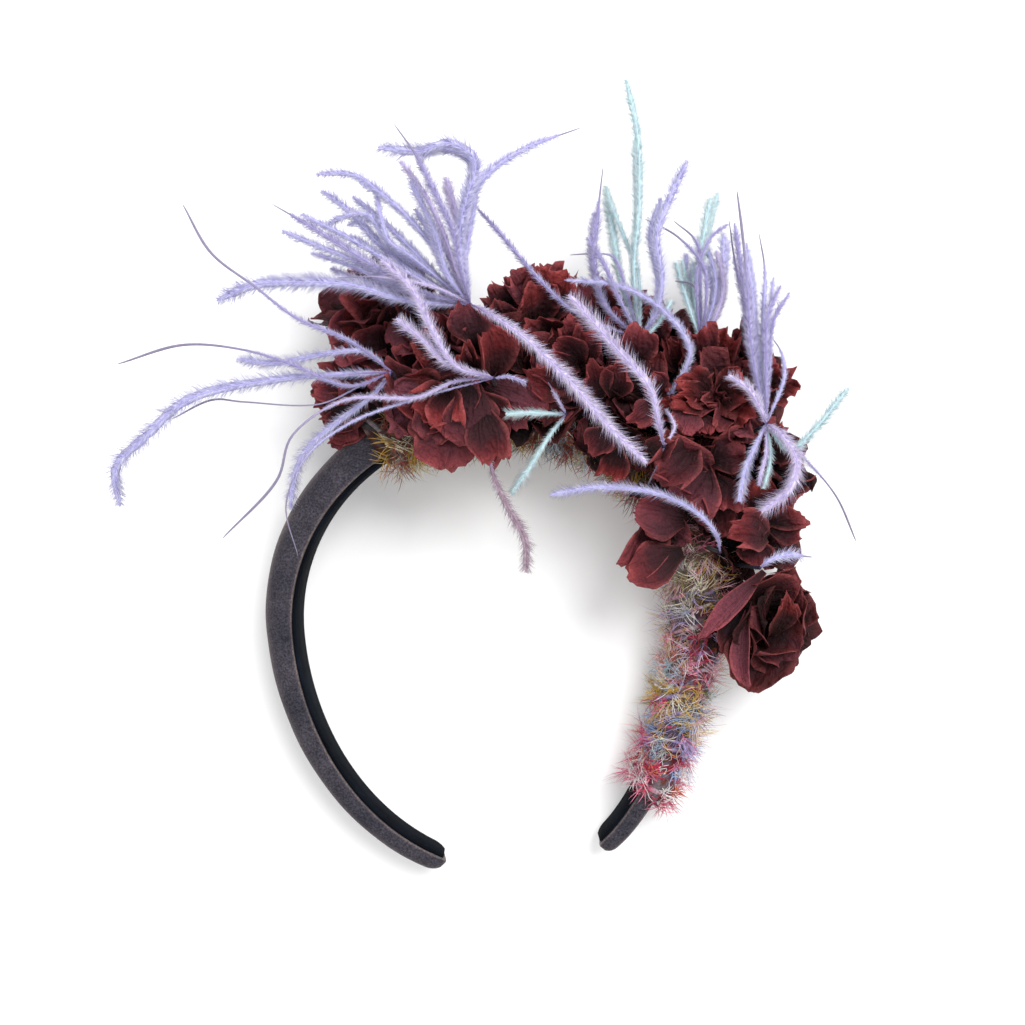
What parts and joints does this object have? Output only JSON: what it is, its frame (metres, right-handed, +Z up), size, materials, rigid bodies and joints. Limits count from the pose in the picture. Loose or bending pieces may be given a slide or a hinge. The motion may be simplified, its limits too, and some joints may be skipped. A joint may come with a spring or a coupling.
{
  "type": "floral headpiece",
  "caption": "Padded velvet hair band wound with fuzzy yarn, with dried blooms and ostrich feather sprays along its top and one leg.",
  "frame": {"origin": "centre of the bounding box on the plane that the headpiece lies on", "axes": "+Z up from the table, towards the viewer of a lying band; +Y towards the top of the arch; +X towards the wound leg"},
  "size_m": [0.2253, 0.2408, 0.0726],
  "materials": {
    "velvet": "short-pile charcoal brown velvet over padding, with a soft sheen at its edges",
    "lining": "blue-black grosgrain lining strip with a dull satin surface",
    "yarn": "eyelash yarn in olive, gold and cream over the top and pink, crimson, lilac, blue and mustard down the leg",
    "dried_petal": "dried burgundy petals with a dull velvety surface, redder rims and dark hearts",
    "feather": "lavender ostrich barbs with fine downy barbules and darker bare tips",
    "mint_feather": "pale mint ostrich barbs with fine downy barbules"
  },
  "bodies": {
    "root": {"velvet_band": "velvet", "inner_lining": "lining", "yarn_wrap": "yarn", "feathers_left": "feather", "feathers_upper_left": "feather", "feathers_front": "feather", "feathers_middle": "feather", "feathers_top_right": "feather", "feathers_far_right": "feather", "feathers_right": "feather", "feather_low_right": "feather", "feather_inner_leg": "feather", "feather_hanging": "feather", "feathers_mint": "mint_feather", "rose_left": "dried_petal", "rose_low_left": "dried_petal", "rose_front": "dried_petal", "bloom_upper_left": "dried_petal", "bloom_folded": "dried_petal", "bloom_top": "dried_petal", "bloom_centre": "dried_petal", "bloom_top_centre": "dried_petal", "bloom_deep": "dried_petal", "bloom_top_right": "dried_petal", "bloom_middle": "dried_petal", "bloom_small_right": "dried_petal", "carnation_top": "dried_petal", "carnation_side": "dried_petal", "bloom_far_right": "dried_petal", "bloom_leg": "dried_petal", "bloom_low_right": "dried_petal", "bloom_side_right": "dried_petal", "rose_right": "dried_petal", "bloom_inner": "dried_petal"}
  },
  "joints": []
}
